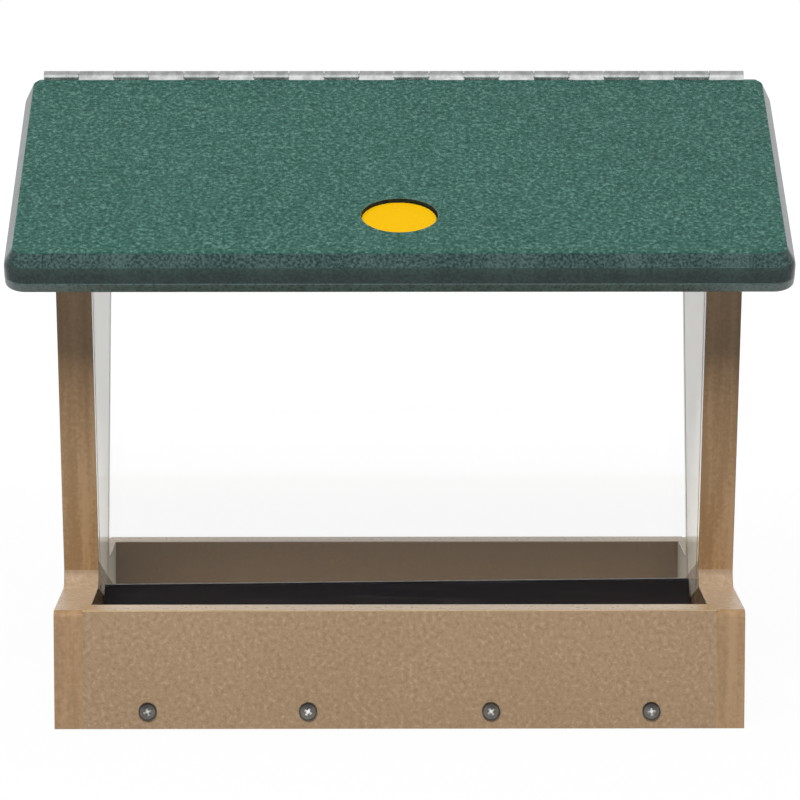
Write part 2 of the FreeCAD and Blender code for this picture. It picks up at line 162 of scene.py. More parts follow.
class HingeSettings(bpy.types.PropertyGroup):
    """Sizes and colour of the ridge hinge"""
    knuckles: IntProperty(name="Knuckles", description="Knuckles of both leaves", default=20, min=2)
    screw_count: IntProperty(name="Screws", description="Screws of one leaf", default=6, min=1)
    gap: length("Knuckle gap", "Between two knuckles", 0.0003)
    barrel_radius: length("Barrel radius", "Outside of the knuckles", 0.002245)
    bore_radius: length("Bore radius", "Hole for the pin", 0.00125)
    leaf_thickness: length("Leaf thickness", "Sheet of the leaves", 0.0010)
    leaf_depth: length("Leaf depth", "Pin to the lower edge of a leaf", 0.014)
    leaf_top: length("Leaf top", "Pin to the upper edge of a leaf, clear of the other's knuckles", 0.00212)
    end_round: length("End rounding", "Rounding of the knuckles' ends", 0.00015)
    screw_pitch: length("Screw pitch", "Between two screws of a leaf", 0.055)
    screw_drop: length("Screw drop", "Screws below the pin", 0.0095)
    sink_clearance: length("Sink clearance", "Around the head of a screw", 0.00005)
    metal: colour("Metal", "Satin metal of the hinge", (0.80, 0.81, 0.81))


class ScrewSettings(bpy.types.PropertyGroup):
    """Sizes and colours of the screws"""
    head_radius: length("Head radius", "Body and roof screws", 0.0040)
    rim_height: length("Rim height", "Straight side of a pan head", 0.0010)
    dome_rise: length("Dome rise", "Dome of a pan head above its rim", 0.0016)
    shank_radius: length("Shank radius", "Body and roof screws", 0.0021)
    tip_length: length("Tip length", "Point of the body and roof screws", 0.004)
    body_length: length("Body screw length", "Screws of the rails and end panels", 0.03175)
    roof_length: length("Roof screw length", "From the face of the head", 0.0381)
    flat_depth: length("Flat head depth", "Cone of a countersunk head", 0.0023)
    recess_reach: length("Recess reach", "Middle of the cross to the end of an arm", 0.0019)
    recess_width: length("Recess width", "Across one arm of the cross", 0.0012)
    recess_depth: length("Recess depth", "Depth of the cross", 0.0017)
    hinge_head_radius: length("Hinge screw head radius", "Small screws of the leaves", 0.0025)
    hinge_shank_radius: length("Hinge screw shank radius", "Small screws of the leaves", 0.0013)
    hinge_tip_length: length("Hinge screw tip length", "Small screws of the leaves", 0.002)
    hinge_length: length("Hinge screw length", "Small screws of the leaves", 0.0095)
    hinge_flat_depth: length("Hinge screw head depth", "Cone of a small screw's head", 0.0013)
    hinge_recess: amount("Hinge screw recess", "Cross of a small screw against a large one's", 0.6)
    rail_inner: length("Inner rail screws", "From the middle of the rail", 0.0404)
    floor_place: length("Floor screws", "From the middle of the end panel", 0.045)
    steel: colour("Steel", "Domes and flats of the heads", (0.180, 0.170, 0.155))
    # A pan head is darker towards its rim
    rim_steel: colour("Rim steel", "Darker rim of a pan head", (0.085, 0.077, 0.066))
    # Near-white recess metal: partly driver wear, partly a painted glint
    worn_and_glint_steel: colour("Worn steel with painted glint", "Bright metal in the recess", (0.95, 0.94, 0.92))


class TrimSettings(bpy.types.PropertyGroup):
    """Badge, seed diverter and panes"""
    badge_width: length("Badge width", "Along the ridge", 0.0329)
    badge_depth: length("Badge depth", "Along the slope", 0.0281)
    badge_thickness: length("Badge thickness", "Thickness of the oval", 0.0012)
    badge_round: length("Badge rounding", "Rounding of the upper rim", 0.0004)
    badge_shift: length("Badge shift", "How far the badge lies to the left in its pocket", 0.00025)
    badge_yellow: colour("Badge yellow", "Face of the badge", (0.61, 0.350, 0.003))
    sheet_black: colour("Sheet black", "Seed diverter", (0.0115, 0.0102, 0.0124))
    pane_tint: colour("Pane tint", "Clear panes", (0.994, 0.997, 0.995))
    pane_break: length("Pane edge break", "Bevel of the panes' edges", 0.0003)


class StudioSettings(bpy.types.PropertyGroup):
    """Camera and light"""
    lens: amount("Lens", "Focal length", 193.31, "DISTANCE_CAMERA")
    camera_place: FloatVectorProperty(name="Camera", description="Place of the camera", size=3, unit="LENGTH",
                                      default=(-0.0119, -1.9746, 0.3722), subtype="TRANSLATION")
    camera_tilt: amount("Tilt", "Camera looking down", math.radians(6.90), "ANGLE")
    camera_turn: amount("Turn", "Camera looking to the right", math.radians(0.371), "ANGLE")
    surround: amount("Surround", "Even light of the white room", 0.06)
    ceiling: amount("Ceiling", "Brightness of the ceiling in reflections", 0.5)
    front_light: amount("Front light", "Soft box in front", 48.0, "POWER")
    left_light: amount("Left light", "Soft box above on the left", 10.0, "POWER")
    right_light: amount("Right light", "Soft box above on the right", 8.0, "POWER")
    back_light: amount("Back light", "Soft box behind", 12.0, "POWER")


# Node trees

def add_node(tree, kind, inputs=None, settings=None, output=0):
    """Adds a node, sets or joins its inputs by name or number, and gives one of its outputs."""
    made = tree.nodes.new(kind)
    for name, value in (settings or {}).items():
        setattr(made, name, value)
    for name, value in (inputs or {}).items():
        for item in value if isinstance(value, list) else [value]:
            if isinstance(item, bpy.types.NodeSocket):
                tree.links.new(item, made.inputs[name])
            else:
                made.inputs[name].default_value = item
    return made.outputs[output] if made.outputs else None


def figure(tree, operation, first, second=0.0, third=0.0):
    """One step of arithmetic on numbers or sockets, worked out by the tree."""
    return add_node(tree, "ShaderNodeMath", {0: first, 1: second, 2: third}, {"operation": operation})


def plus(tree, first, second):
    return figure(tree, "ADD", first, second)


def minus(tree, first, second):
    return figure(tree, "SUBTRACT", first, second)


def times(tree, first, second):
    return figure(tree, "MULTIPLY", first, second)


def vector_of(tree, x, y, z):
    return add_node(tree, "ShaderNodeCombineXYZ", {"X": x, "Y": y, "Z": z})


def opaque(rgb):
    return (rgb[0], rgb[1], rgb[2], 1.0)


def new_material(name):
    """Empty material, its tree and its object coordinates."""
    material = bpy.data.materials.new(name)
    material.use_nodes = True
    tree = material.node_tree
    tree.nodes.clear()
    return material, tree, add_node(tree, "ShaderNodeTexCoord", output="Object")


def noise(tree, place, scale, detail=2.0):
    """Noise over the object, with one scale or one for each axis."""
    if isinstance(scale, tuple):
        place = add_node(tree, "ShaderNodeMapping", {"Vector": place, "Scale": scale})
        scale = 1.0
    return add_node(tree, "ShaderNodeTexNoise", {
        "Vector": place, "Scale": scale, "Detail": detail, "Roughness": 0.55}, output="Fac")


def spread(tree, value, low, high, to_low=0.0, to_high=1.0):
    """A value between low and high, spread smoothly over another range."""
    return add_node(tree, "ShaderNodeMapRange", {
        "Value": value, "From Min": low, "From Max": high, "To Min": to_low, "To Max": to_high},
        {"interpolation_type": "SMOOTHSTEP"})


def blend_colours(tree, share, first, second, way="MIX"):
    return add_node(tree, "ShaderNodeMix", {0: share, 6: first, 7: second},
                    {"data_type": "RGBA", "blend_type": way}, 2)


def relief(tree, height, depth):
    return add_node(tree, "ShaderNodeBump", {"Height": height, "Distance": depth, "Strength": 1.0})


def mix_shaders(tree, share, first, second):
    return add_node(tree, "ShaderNodeMixShader", {0: share, 1: first, 2: second})


def close_material(tree, inputs):
    shader = add_node(tree, "ShaderNodeBsdfPrincipled", inputs)
    add_node(tree, "ShaderNodeOutputMaterial", {"Surface": shader})


# Finishes

def moulded_face(name, tones, size, depth, roughness, index, haze=0.0):
    """Pebbled face of a plastic board, with the tones of its hollows, its ground and its raised flecks. The
    tone follows the relief: partly the speckle of the plastic, partly painted shade in the hollows and
    painted highlight on the flecks.
    """
    material, tree, place = new_material(name)
    grains = noise(tree, place, 0.66 / size)
    fine = noise(tree, place, 1.7 / size, 1.0)
    drift = noise(tree, place, 14.0)
    height = figure(tree, "MULTIPLY_ADD", fine, 0.35, grains)
    pit, ground, fleck = (opaque(tone) for tone in tones)
    # The tone follows the relief: darker in the hollows and lighter on the raised flecks, partly speckle and
    # partly painted shade and painted highlight
    low = blend_colours(tree, spread(tree, height, 0.46, 0.68), pit, ground)
    tone = blend_colours(tree, spread(tree, height, 0.66, 0.94), low, fleck)
    shade = blend_colours(tree, spread(tree, drift, 0.3, 0.7), (0.95, 0.95, 0.95, 1), (1, 1, 1, 1))
    close_material(tree, {
        "Base Color": blend_colours(tree, 1.0, tone, shade, "MULTIPLY"),
        "Roughness": spread(tree, height, 0.4, 0.9, roughness + 0.06, roughness - 0.05),
        "IOR": index,
        "Sheen Weight": haze,
        "Sheen Roughness": 0.35,
        "Sheen Tint": (1.0, 0.95, 0.82, 1.0),
        "Normal": relief(tree, height, depth)})
    return material


def machined_edge(name, dark, light, stretch, grain, grain_share, depth, roughness, index):
    """Sawn and routed edge: streaks of the cutter, with a finer grain over them."""
    material, tree, place = new_material(name)
    streaks = noise(tree, place, stretch)
    grains = noise(tree, place, grain)
    height = figure(tree, "MULTIPLY_ADD", grains, grain_share, streaks)
    middle = 0.5 + 0.5 * grain_share
    reach = 0.18 * math.hypot(1.0, grain_share)
    tone = spread(tree, height, middle - reach, middle + reach)
    close_material(tree, {
        "Base Color": blend_colours(tree, tone, opaque(dark), opaque(light)),
        "Roughness": spread(tree, grains, 0.3, 0.7, roughness - 0.03, roughness + 0.03),
        "IOR": index,
        "Normal": relief(tree, height, depth)})
    return material


def taupe_face(boards, name, depth, roughness, index, haze=0.0):
    """Face of a body board. The pieces that name the same one share it."""
    tones = (boards.taupe_pit, boards.taupe, boards.taupe_fleck)
    made = bpy.data.materials.get(name)
    return made or moulded_face(name, tones, boards.taupe_size, depth, roughness, index, haze)


def taupe_edge(boards, name, share, index):
    """Edge of an end panel, with the cutter's streaks along it and a share of its brightness that paints
    light where it is above 1.
    """
    dark, light = ([share * part for part in tone] for tone in (boards.taupe_edge, boards.taupe_streak))
    return machined_edge(name, dark, light, stretch=(240.0, 12.0, 12.0), grain=560.0, grain_share=0.60,
                         depth=0.00001, roughness=0.24, index=index)


def shoulder_finish(boards, name, share):
    """Routed and flecked shoulder of an end panel, lighter than the face with painted light, and with a share
    of its brightness that paints shade where it is below 1.
    """
    tones = (boards.shoulder_pit, boards.shoulder, boards.shoulder_fleck)
    shaded = [[share * part for part in tone] for tone in tones]
    return moulded_face(name, shaded, boards.taupe_size, depth=0.00001, roughness=0.36, index=1.45)


def panel_finishes(boards):
    """Finishes of an end panel, in the order of its slots."""
    dusty_relief = 0.25 * boards.taupe_relief
    return [
        taupe_face(boards, "Dusty hopper face", dusty_relief, roughness=0.08, index=1.8, haze=0.56),
        taupe_edge(boards, "Taupe panel edge", share=1.0, index=1.5),
        # The shoulder's lighter tones paint light on its upward flats; the cove's lower share paints shade
        shoulder_finish(boards, "Taupe shoulder with painted light", share=1.01),
        shoulder_finish(boards, "Taupe cove with painted shade", share=0.84),
        taupe_face(boards, "Taupe board face", boards.taupe_relief, roughness=0.28, index=1.5),
        # Neck edges brightened by a share of 1.10: painted light on the neck's edges
        taupe_edge(boards, "Taupe neck edge with painted light", share=1.10, index=1.40),
        taupe_face(boards, "Thinly dusted face", dusty_relief, roughness=0.12, index=1.6, haze=0.22)]


def roof_finishes(boards):
    """Finishes of a roof board, in the order of its slots."""
    tones = (boards.green_pit, boards.green, boards.green_fleck)
    face = moulded_face("Green board face", tones, boards.green_size, boards.green_relief,
                        roughness=0.40, index=1.5)
    bevel = machined_edge("Green board bevel", boards.green_edge, boards.green_grain,
                          stretch=(90.0, 90.0, 40.0), grain=800.0, grain_share=3.0, depth=0.00003,
                          roughness=0.17, index=1.36)
    # Lighter lip: painted bounce light under the eave, and painted highlight lines on the lower crease and
    # the pocket's rim
    lip = machined_edge("Green board lip with painted light", boards.green_lip, boards.green_lip_grain,
                        stretch=(300.0, 120.0, 120.0), grain=800.0, grain_share=1.5, depth=0.00003,
                        roughness=0.30, index=1.6)
    # Darker square-cut band: partly its cut finish, partly painted shade of a band that faces down
    square = machined_edge("Green board square edge", boards.green_square, boards.green_speck,
                           stretch=(90.0, 90.0, 40.0), grain=700.0, grain_share=2.0, depth=0.00003,
                           roughness=0.24, index=1.36)
    # Near-black wall of the badge's pocket: painted shade in the recess
    pocket = machined_edge("Pocket wall with painted shade", boards.pocket, boards.green_square,
                           stretch=(300.0, 300.0, 900.0), grain=620.0, grain_share=0.6, depth=0.00004,
                           roughness=0.55, index=1.3)
    return [face, bevel, lip, square, pocket]


def satin_metal(name, tone, stretch, roughness):
    """Drawn metal with faint lines along the draw and cloudy tarnish."""
    material, tree, place = new_material(name)
    lines = noise(tree, place, stretch)
    clouds = noise(tree, place, 260.0, 3.0)
    dull = tuple(0.72 * part for part in tone)
    close_material(tree, {
        "Base Color": blend_colours(tree, spread(tree, clouds, 0.35, 0.65), opaque(dull), opaque(tone)),
        "Metallic": 1.0,
        "Roughness": spread(tree, lines, 0.3, 0.7, roughness - 0.06, roughness + 0.08),
        "Normal": relief(tree, lines, 0.00002)})
    return material


def badge_finish(tone):
    """Yellow plastic of the badge, with a faint mould haze."""
    material, tree, place = new_material("Badge yellow")
    haze = noise(tree, place, 900.0)
    deep = tuple(0.96 * part for part in tone)
    close_material(tree, {
        "Base Color": blend_colours(tree, spread(tree, haze, 0.35, 0.65), opaque(deep), opaque(tone)),
        "Roughness": spread(tree, haze, 0.3, 0.7, 0.45, 0.55),
        "IOR": 1.45,
        "Specular IOR Level": 0.08,
        "Normal": relief(tree, haze, 0.00002)})
    return material


def sheet_finish(name, tone, roughness, index):
    """Plastic sheet with a fine rolled grain and light rub marks along it."""
    material, tree, place = new_material(name)
    grain = noise(tree, place, 1500.0)
    rubs = noise(tree, place, (14.0, 420.0, 420.0), 3.0)
    rubbed = tuple(1.7 * part for part in tone)
    close_material(tree, {
        "Base Color": blend_colours(tree, spread(tree, rubs, 0.52, 0.72), opaque(tone), opaque(rubbed)),
        "Roughness": spread(tree, rubs, 0.3, 0.7, roughness - 0.07, roughness + 0.07),
        "IOR": index,
        "Normal": relief(tree, grain, 0.00003)})
    return material


def pane_finish(tone):
    """Clear sheet that lets the lamps through, with a faint film where it has been wiped."""
    material, tree, place = new_material("Clear pane")
    film = noise(tree, place, (60.0, 18.0, 18.0), 3.0)
    clear = add_node(tree, "ShaderNodeBsdfPrincipled", {
        "Base Color": opaque(tone),
        "Roughness": spread(tree, film, 0.4, 0.8, 0.0, 0.015),
        "IOR": 1.33,
        "Transmission Weight": 1.0})
    passing = add_node(tree, "ShaderNodeBsdfTransparent", {"Color": opaque(tone)})
    shadow = add_node(tree, "ShaderNodeLightPath", output="Is Shadow Ray")
    add_node(tree, "ShaderNodeOutputMaterial", {"Surface": mix_shaders(tree, shadow, clear, passing)})
    return material


# Meshes

def new_piece(name, mesh):
    piece = bpy.data.objects.new(name, mesh)
    bpy.context.scene.collection.objects.link(piece)
    return piece


def settle(piece, body, slot, *nodes):
    """Puts a finished piece on its body in place of CAD nodes."""
    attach(piece, body)
    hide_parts(*nodes)


def bake(piece):
    """Gives a piece the plain mesh that its modifiers make, and removes them."""
    bpy.context.view_layer.update()
    graph = bpy.context.evaluated_depsgraph_get()
    made = bpy.data.meshes.new_from_object(piece.evaluated_get(graph), depsgraph=graph)
    if not made.polygons:
        raise RuntimeError(f"{piece.name} came out empty")
    before = piece.data
    made.name = before.name
    piece.modifiers.clear()
    piece.data = made
    bpy.data.meshes.remove(before)


def whole_faces(node):
    """A CAD node's shape with its loose triangles merged into whole flat faces."""
    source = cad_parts[node].data
    shape = bmesh.new()
    points = [shape.verts.new(vertex.co) for vertex in source.vertices]
    for triangle in source.polygons:
        shape.faces.new([points[index] for index in triangle.vertices])
    bmesh.ops.remove_doubles(shape, verts=shape.verts[:], dist=WELD)
    bmesh.ops.dissolve_limit(shape, angle_limit=FLAT, verts=shape.verts[:], edges=shape.edges[:])
    return shape


def break_edges(shape, chosen, reach, slot=CORNER, segments=2):
    """Rounds the chosen edges and puts the new strips in a material slot."""
    bmesh.ops.bevel(shape, geom=chosen, offset=reach, offset_type="OFFSET", segments=segments, profile=0.5,
                    affect="EDGES", clamp_overlap=False, material=slot)


def corner_edges(shape, least_angle):
    """Outer corners sharper than an angle, each with its middle."""
    for edge in shape.edges:
        if edge.is_manifold and edge.is_convex and edge.calc_face_angle() > least_angle:
            yield edge, (edge.verts[0].co + edge.verts[1].co) / 2


def smooth_piece(piece):
    """Even shading on the flats of a piece, and smooth shading on its rounds."""
    piece.data.polygons.foreach_set("use_smooth", [True] * len(piece.data.polygons))
    piece.data.set_sharp_from_angle(angle=SMOOTH)
    weighted = piece.modifiers.new("Even flats", "WEIGHTED_NORMAL")
    weighted.keep_sharp = True
    bake(piece)
    return piece


def close_board(shape, name, materials):
    """Finished piece from a shape and the materials of its slots."""
    mesh = bpy.data.meshes.new(name)
    shape.to_mesh(mesh)
    shape.free()
    for material in materials:
        mesh.materials.append(material)
    return smooth_piece(new_piece(name, mesh))


def mark_faces(shape, axis):
    """Moulded faces look along the axis; every other face is a machined edge."""
    for part in shape.faces:
        part.material_index = FACE if abs(part.normal.dot(axis)) > STRAIGHT_ON else EDGE


def near_screw(point, seats, axis):
    """True for a point in or beside a screw hole that runs along an axis."""
    for seat in seats:
        away = point - seat
        away -= axis * away.dot(axis)
        if away.length < HOLE_REACH:
            return True
    return False


# Places of the screws, from the boxes of the CAD groups

def rail_seats(side):
    screws = bpy.context.scene.feeder_screws
    low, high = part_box("front_rail_screws" if side < 0 else "back_rail_screws")
    outer = high.x - screws.head_radius
    inner = screws.rail_inner
    head = screws.rim_height + screws.dome_rise
    seat_y = low.y + head if side < 0 else high.y - head
    height = (low.z + high.z) / 2
    return [Vector((x, seat_y, height)) for x in (-outer, -inner, inner, outer)]


def end_seats(side):
    screws = bpy.context.scene.feeder_screws
    low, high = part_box("end_screws_left" if side < 0 else "end_screws_right")
    seat_x = low.x if side < 0 else high.x
    rail_y = high.y - screws.head_radius
    rail_z = high.z - screws.head_radius
    floor_y = screws.floor_place
    floor_z = low.z + screws.head_radius
    places = ((-rail_y, rail_z), (rail_y, rail_z), (-floor_y, floor_z), (floor_y, floor_z))
    return [Vector((seat_x, y, z)) for y, z in places]


def roof_seats():
    radius = bpy.context.scene.feeder_screws.head_radius
    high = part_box("roof_screws")[1]
    board_low, board_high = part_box("roof_panel_back")
    x = high.x - radius
    lower_y = high.y - radius * math.cos(ROOF_PITCH)
    lower_z = board_high.z - (lower_y - board_low.y) * math.tan(ROOF_PITCH)
    upper_z = high.z - radius * math.sin(ROOF_PITCH)
    upper_y = board_low.y + (board_high.z - upper_z) / math.tan(ROOF_PITCH)
    places = ((upper_y, upper_z), (lower_y, lower_z))
    return [Vector((side * x, y, z)) for side in (-1, 1) for y, z in places]


def hinge_seats(side):
    hinge = bpy.context.scene.feeder_hinge
    low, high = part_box("hinge_pin")
    middle = (low + high) / 2
    first = middle.x - (hinge.screw_count - 1) / 2 * hinge.screw_pitch
    seat_y = side * (hinge.barrel_radius - hinge.leaf_thickness)
    seat_z = middle.z - hinge.screw_drop
    return [Vector((first + step * hinge.screw_pitch, seat_y, seat_z)) for step in range(hinge.screw_count)]


# Geometry trees

def geometry_tree(name, sizes, counts=(), materials=()):
    """Geometry tree with a named input for each size. Gives the tree and its input sockets by name."""
    tree = bpy.data.node_groups.new(name, "GeometryNodeTree")
    tree.interface.new_socket("Geometry", in_out="INPUT", socket_type="NodeSocketGeometry")
    kinds = ((sizes, "NodeSocketFloat"), (counts, "NodeSocketInt"), (materials, "NodeSocketMaterial"))
    for labels, kind in kinds:
        for label in labels:
            tree.interface.new_socket(label, in_out="INPUT", socket_type=kind)
    tree.interface.new_socket("Geometry", in_out="OUTPUT", socket_type="NodeSocketGeometry")
    entry = tree.nodes.new("NodeGroupInput")
    return tree, {socket.name: socket for socket in entry.outputs if socket.name}


def real(tree, geometry):
    """Instances made into plain geometry."""
    return add_node(tree, "GeometryNodeRealizeInstances", {"Geometry": geometry})


def close_tree(tree, geometry):
    add_node(tree, "NodeGroupOutput", {"Geometry": geometry})
    return tree


def grow(name, base, tree, values):
    """Piece grown by a tree from a base mesh, with the tree's inputs set by name."""
    piece = new_piece(name, base)
    modifier = piece.modifiers.new(tree.name, "NODES")
    modifier.node_group = tree
    for item in tree.interface.items_tree:
        if item.in_out == "INPUT" and item.name in values:
            modifier[item.identifier] = values[item.name]
    bake(piece)
    return piece


def cylinder(tree, sides, radius, depth):
    return add_node(tree, "GeometryNodeMeshCylinder", {"Vertices": sides, "Radius": radius, "Depth": depth})


def cone(tree, sides, top, bottom, depth):
    return add_node(tree, "GeometryNodeMeshCone", {
        "Vertices": sides, "Radius Top": top, "Radius Bottom": bottom, "Depth": depth})


def block(tree, x, y, z):
    return add_node(tree, "GeometryNodeMeshCube", {"Size": vector_of(tree, x, y, z)})


def moved(tree, geometry, place=(0, 0, 0), turn=(0, 0, 0)):
    return add_node(tree, "GeometryNodeTransform", {
        "Geometry": geometry, "Translation": place, "Rotation": turn})


def raised(tree, geometry, height, turn=(0, 0, 0)):
    return moved(tree, geometry, vector_of(tree, 0.0, 0.0, height), turn)


def painted(tree, geometry, material, where=True):
    return add_node(tree, "GeometryNodeSetMaterial", {
        "Geometry": geometry, "Selection": where, "Material": material})


def joined(tree, parts):
    return add_node(tree, "GeometryNodeJoinGeometry", {"Geometry": parts})


def united(tree, parts):
    return add_node(tree, "GeometryNodeMeshBoolean", {"Mesh 2": parts},
                    {"operation": "UNION", "solver": "EXACT"})


def cut(tree, geometry, tools):
    return add_node(tree, "GeometryNodeMeshBoolean", {"Mesh 1": geometry, "Mesh 2": tools},
                    {"operation": "DIFFERENCE", "solver": "EXACT"})


def row_of(tree, geometry, count, start, pitch):
    """Copies of a geometry in a row along the ridge."""
    line = add_node(tree, "GeometryNodeMeshLine", {
        "Count": count, "Start Location": start, "Offset": vector_of(tree, pitch, 0.0, 0.0)})
    return add_node(tree, "GeometryNodeInstanceOnPoints", {"Points": line, "Instance": geometry})


def cross_tools(tree, size, top):
    """Two tapered bars, crossed, that cut the driver's recess down from the top of a head."""
    depth = size["Recess Depth"]
    narrowing = 0.6
    bar = block(tree, times(tree, size["Recess Reach"], 2.0), size["Recess Width"], times(tree, depth, 2.0))
    position = add_node(tree, "GeometryNodeInputPosition")
    level = add_node(tree, "ShaderNodeSeparateXYZ", {"Vector": position}, output="Z")
    taper = plus(tree, times(tree, figure(tree, "DIVIDE", level, depth), narrowing), 1.0)
    tapered = add_node(tree, "ShaderNodeVectorMath", {0: position, 1: vector_of(tree, taper, taper, 1.0)},
                       {"operation": "MULTIPLY"})
    bar = add_node(tree, "GeometryNodeSetPosition", {"Geometry": bar, "Position": tapered})
    bar = painted(tree, bar, size["Recess Material"])
    return [raised(tree, bar, top), raised(tree, bar, top, (0, 0, math.pi / 2))]


def shank_parts(tree, size, start):
    """Shank and point of a screw, down from a depth."""
    tip = size["Tip Length"]
    tip_radius = 0.0001
    straight = minus(tree, minus(tree, size["Shank Length"], tip), start)
    middle = times(tree, plus(tree, times(tree, start, 2.0), straight), -0.5)
    shank = cylinder(tree, SHANK_SIDES, size["Shank Radius"], straight)
    point = cone(tree, SHANK_SIDES, tip_radius, size["Shank Radius"], tip)
    end = minus(tree, tip, size["Shank Length"])
    return [raised(tree, shank, middle), raised(tree, point, end, (math.pi, 0, 0))]


def screw_on_seats(tree, size, screw):
    """The screw set on every seat, facing out and with its cross turned."""
    facing = add_node(tree, "GeometryNodeInputNamedAttribute", {"Name": "facing"},
                      {"data_type": "FLOAT_VECTOR"}, "Attribute")
    turn = add_node(tree, "GeometryNodeInputNamedAttribute", {"Name": "turn"},
                    {"data_type": "FLOAT"}, "Attribute")
    upright = add_node(tree, "FunctionNodeAlignRotationToVector", {"Vector": facing}, {"axis": "Z"})
    spun = add_node(tree, "FunctionNodeAxisAngleToRotation", {"Axis": (0, 0, 1), "Angle": turn})
    stance = add_node(tree, "FunctionNodeRotateRotation", {"Rotation": upright, "Rotate By": spun},
                      {"rotation_space": "LOCAL"})
    return add_node(tree, "GeometryNodeInstanceOnPoints", {
        "Points": size["Geometry"], "Instance": screw, "Rotation": stance})


def pan_head(tree, size):
    """Domed head standing on the seat. Gives it with the heights of its top and of the shank's start."""
    rim = size["Head Depth"]
    rim_start = 0.80
    disc = add_node(tree, "GeometryNodeMeshCylinder", {
        "Vertices": HEAD_SIDES, "Fill Segments": 6, "Radius": size["Head Radius"], "Depth": rim},
        {"fill_type": "TRIANGLE_FAN"})
    position = add_node(tree, "GeometryNodeInputPosition")
    along = add_node(tree, "ShaderNodeSeparateXYZ", {"Vector": position}).node.outputs
    flat = vector_of(tree, along["X"], along["Y"], 0.0)
    reach = add_node(tree, "ShaderNodeVectorMath", {"Vector": flat}, {"operation": "LENGTH"}, "Value")
    share = figure(tree, "DIVIDE", reach, size["Head Radius"])
    lift = times(tree, minus(tree, 1.0, times(tree, share, share)), size["Dome Rise"])
    on_top = figure(tree, "GREATER_THAN", along["Z"], 0.0)
    domed = add_node(tree, "GeometryNodeSetPosition", {
        "Geometry": disc, "Offset": vector_of(tree, 0.0, 0.0, times(tree, lift, on_top))})
    dome = painted(tree, raised(tree, domed, times(tree, rim, 0.5)), size["Head Material"])
    # Faces near the rim take the darker rim steel
    at_rim = figure(tree, "GREATER_THAN", share, rim_start)
    return painted(tree, dome, size["Rim Material"], at_rim), plus(tree, rim, size["Dome Rise"]), 0.0


def flat_head(tree, size):
    """Countersunk head flush with the seat. Gives it with its top and the depth of the shank's start."""
    deep = size["Head Depth"]
    sink = cone(tree, HEAD_SIDES, size["Head Radius"], size["Shank Radius"], deep)
    flush = raised(tree, sink, times(tree, deep, -1.0))
    return painted(tree, flush, size["Head Material"]), 0.0, deep


def screw_tree(name, make_head):
    """Screws on their seats, with a cross recess in each head."""
    tree, size = geometry_tree(
        name,
        ("Head Radius", "Head Depth", "Dome Rise", "Shank Radius", "Shank Length", "Tip Length",
         "Recess Reach", "Recess Width", "Recess Depth"),
        materials=("Head Material", "Rim Material", "Recess Material"))
    head, top, start = make_head(tree, size)
    recessed = cut(tree, head, cross_tools(tree, size, top))
    shank = painted(tree, joined(tree, shank_parts(tree, size, start)), size["Head Material"])
    return close_tree(tree, real(tree, screw_on_seats(tree, size, joined(tree, [recessed, shank]))))


def hinge_leaf_tree():
    """Leaf of the ridge hinge: a plate sunk for its screws, and knuckles rolled from its edge."""
    tree, size = geometry_tree(
        "Hinge leaf",
        ("Length", "Knuckle Length", "Knuckle Step", "First Knuckle", "Barrel Radius", "Bore Radius", "Side",
         "Leaf Thickness", "Strip Depth", "Leaf Depth", "Screw Start", "Screw Pitch", "Screw Drop",
         "Sink Radius", "Sink Depth", "Start", "Axis Height"),
        ("Knuckle Count", "Screw Count"), ("Metal",))
    along = (0, math.pi / 2, 0)
    long = size["Knuckle Length"]
    thick = size["Leaf Thickness"]
    strip_deep = size["Strip Depth"]
    plate_y = times(tree, minus(tree, size["Barrel Radius"], times(tree, thick, 0.5)), size["Side"])
    barrel = moved(tree, cylinder(tree, BARREL_SIDES, size["Barrel Radius"], long), turn=along)
    bore = cylinder(tree, BORE_SIDES, size["Bore Radius"], times(tree, long, 2.0))
    bore = moved(tree, bore, turn=along)
    strip_place = vector_of(tree, 0.0, plate_y, times(tree, strip_deep, -0.5))
    strip = moved(tree, block(tree, long, thick, strip_deep), strip_place)
    knuckle = cut(tree, united(tree, [barrel, strip]), [bore])
    first = vector_of(tree, size["First Knuckle"], 0.0, 0.0)
    knuckles = row_of(tree, knuckle, size["Knuckle Count"], first, size["Knuckle Step"])
    plate_x = times(tree, size["Length"], 0.5)
    plate_z = times(tree, plus(tree, size["Leaf Depth"], strip_deep), -0.5)
    plate = block(tree, size["Length"], thick, minus(tree, size["Leaf Depth"], strip_deep))
    plate = moved(tree, plate, vector_of(tree, plate_x, plate_y, plate_z))
    sink_tip = 0.0002
    sink_proud = 0.00002
    sink = cone(tree, BARREL_SIDES, sink_tip, size["Sink Radius"], times(tree, size["Sink Depth"], 2.0))
    sink = moved(tree, sink, turn=vector_of(tree, times(tree, size["Side"], -math.pi / 2), 0.0, 0.0))
    inner_face = minus(tree, size["Barrel Radius"], thick)
    sink_y = times(tree, minus(tree, inner_face, sink_proud), size["Side"])
    first_sink = vector_of(tree, size["Screw Start"], sink_y, times(tree, size["Screw Drop"], -1.0))
    sinks = real(tree, row_of(tree, sink, size["Screw Count"], first_sink, size["Screw Pitch"]))
    whole = joined(tree, [knuckles, cut(tree, plate, [sinks])])
    placed = moved(tree, whole, vector_of(tree, size["Start"], 0.0, size["Axis Height"]))
    return close_tree(tree, painted(tree, real(tree, placed), size["Metal"]))


def seat_mesh(name, seats, facing, turns):
    """One point for each screw, with the way it faces and the turn of its cross."""
    mesh = bpy.data.meshes.new(name)
    mesh.from_pydata([tuple(seat) for seat in seats], [], [])
    mesh.attributes.new("facing", "FLOAT_VECTOR", "POINT")
    mesh.attributes.new("turn", "FLOAT", "POINT")
    for index in range(len(seats)):
        mesh.attributes["facing"].data[index].vector = facing
        mesh.attributes["turn"].data[index].value = turns[index % len(turns)]
    return mesh


# Operators

